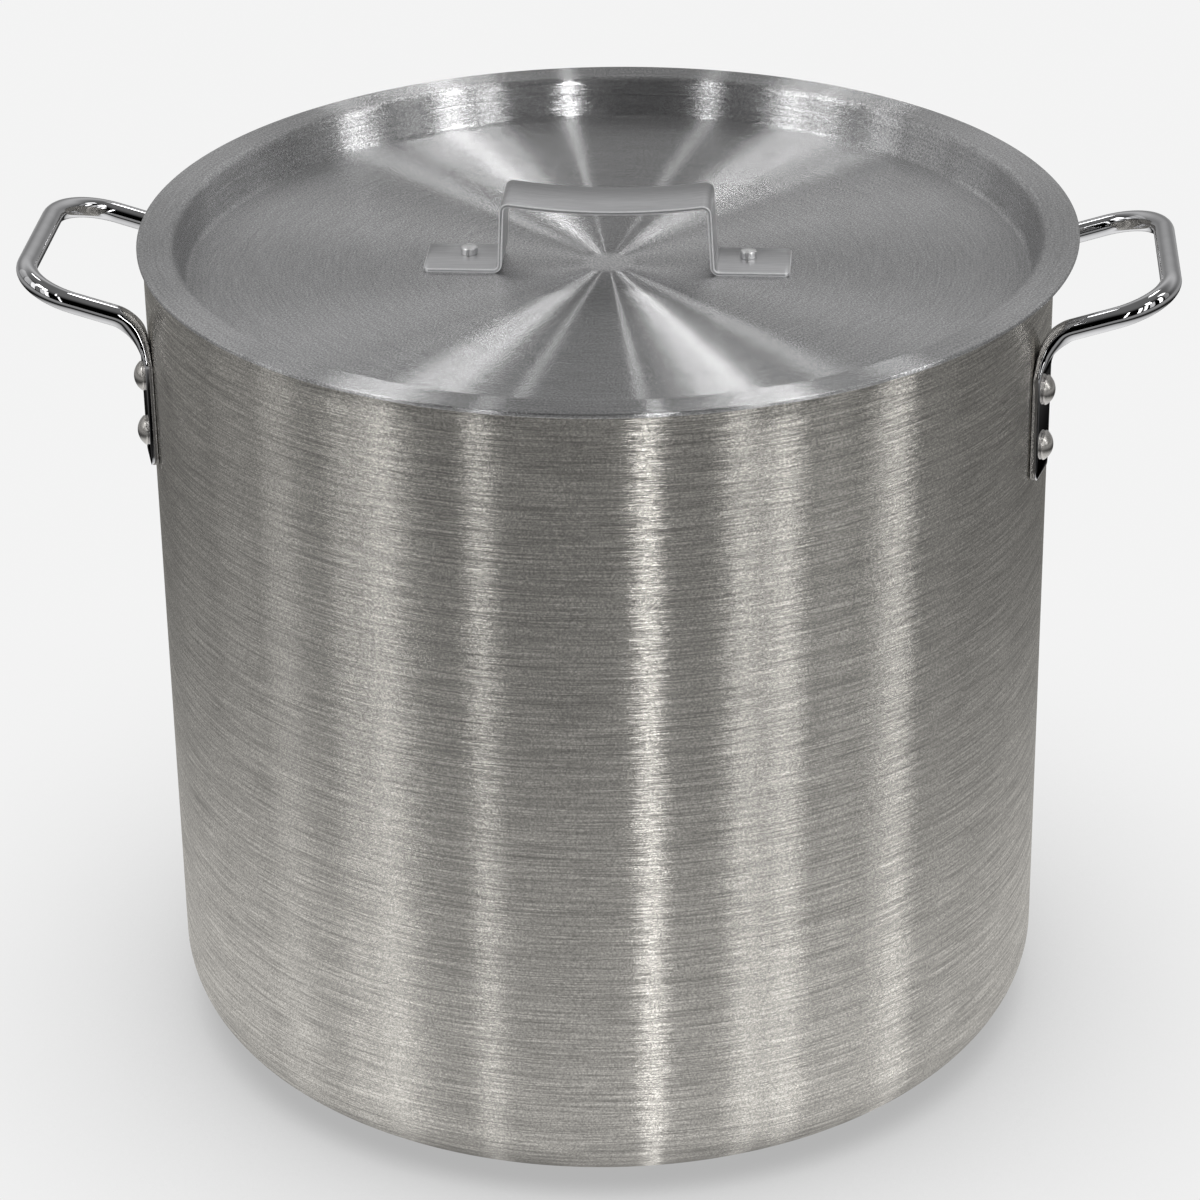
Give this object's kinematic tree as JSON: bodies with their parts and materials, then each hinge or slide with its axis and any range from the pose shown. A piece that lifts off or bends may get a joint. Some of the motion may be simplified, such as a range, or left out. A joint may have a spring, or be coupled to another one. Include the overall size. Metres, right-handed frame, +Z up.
{
  "type": "stock pot",
  "caption": "Tall straight-sided aluminium stock pot with riveted chrome loop handles and a loose recessed lid that lifts off by a strap handle.",
  "frame": {"origin": "centre of the flat base, on the table", "axes": "+Z up through the pot's axis, +X towards the right side handle and along the lid's strap, -Y the front"},
  "size_m": [0.546, 0.444, 0.4222],
  "materials": {
    "pot_aluminium": "brushed round the wall",
    "lid_aluminium": "satin, spun in fine rings",
    "strap_aluminium": "satin sheet",
    "rivet_aluminium": "satin",
    "handle_chrome": "polished plating on steel rod"
  },
  "bodies": {
    "pot": {"pot_shell": "pot_aluminium", "left_side_handle": "handle_chrome", "right_side_handle": "handle_chrome", "left_front_upper_rivet": "rivet_aluminium", "left_front_lower_rivet": "rivet_aluminium", "left_rear_upper_rivet": "rivet_aluminium", "left_rear_lower_rivet": "rivet_aluminium", "right_front_upper_rivet": "rivet_aluminium", "right_front_lower_rivet": "rivet_aluminium", "right_rear_upper_rivet": "rivet_aluminium", "right_rear_lower_rivet": "rivet_aluminium"},
    "lid": {"lid_disc": "lid_aluminium", "lid_strap_handle": "strap_aluminium", "lid_left_rivet": "rivet_aluminium", "lid_right_rivet": "rivet_aluminium"}
  },
  "joints": [
    {"name": "lid_lift", "type": "slide", "parent": "pot", "child": "lid", "axis": [0, 0, 1], "range_m": [0, 0.25]}
  ]
}
